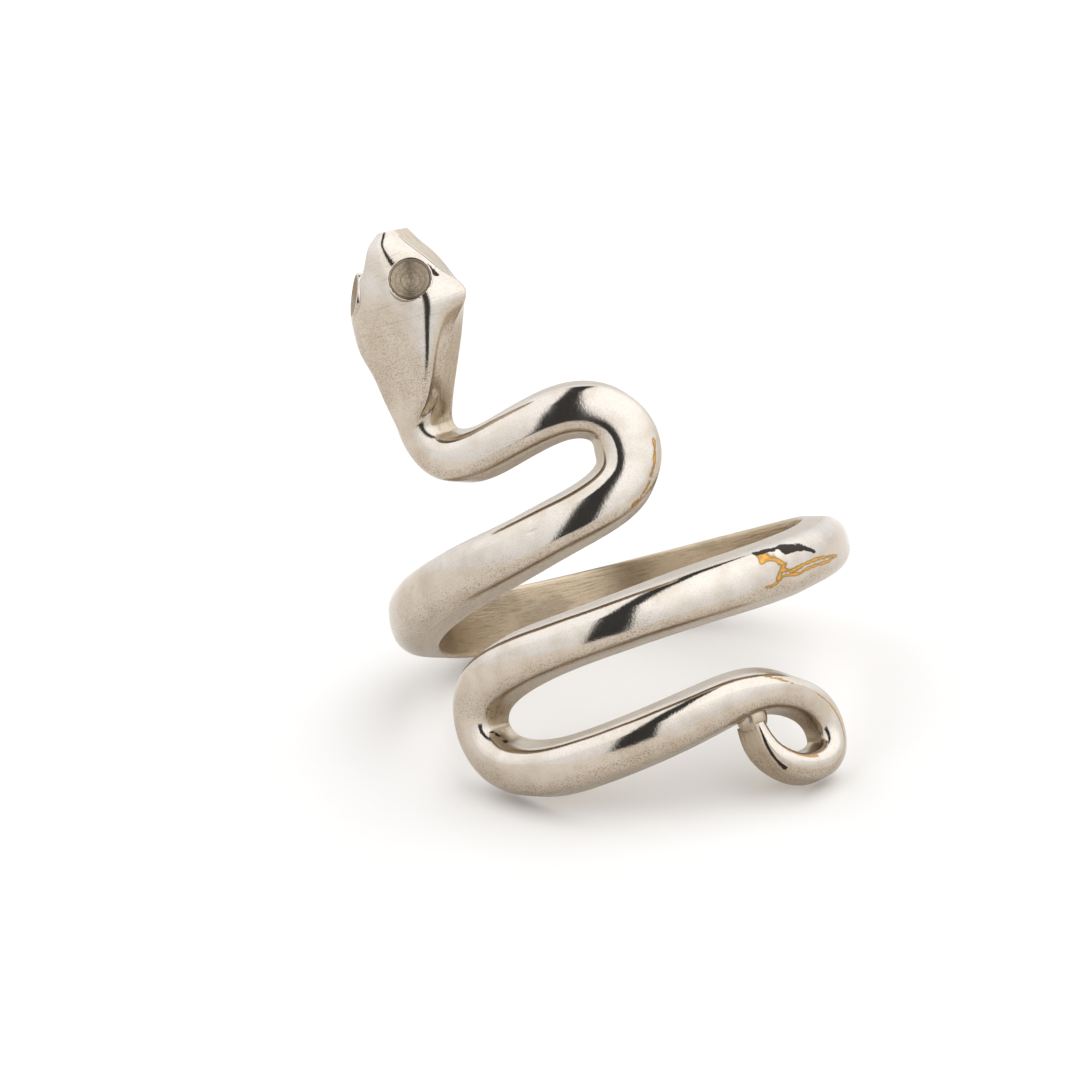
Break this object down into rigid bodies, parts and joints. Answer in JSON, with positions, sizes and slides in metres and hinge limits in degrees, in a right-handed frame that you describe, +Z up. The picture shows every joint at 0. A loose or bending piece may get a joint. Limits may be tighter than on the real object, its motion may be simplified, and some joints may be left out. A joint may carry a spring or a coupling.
{
  "type": "snake ring",
  "caption": "Finger ring cast as a snake that winds round the finger, with a faceted kite-shaped head, empty eye sockets and a curled tail.",
  "frame": {"origin": "middle of the ring's footprint on the table that it rests on", "axes": "+Z up from the table, the snake's head above and towards the viewer on the -Y side, +X to the viewer's right"},
  "size_m": [0.022, 0.0222, 0.0239],
  "materials": {
    "silver": "polished cast silver, scratched and a little tarnished"
  },
  "bodies": {
    "root": {"snake_ring": "silver"}
  },
  "joints": []
}
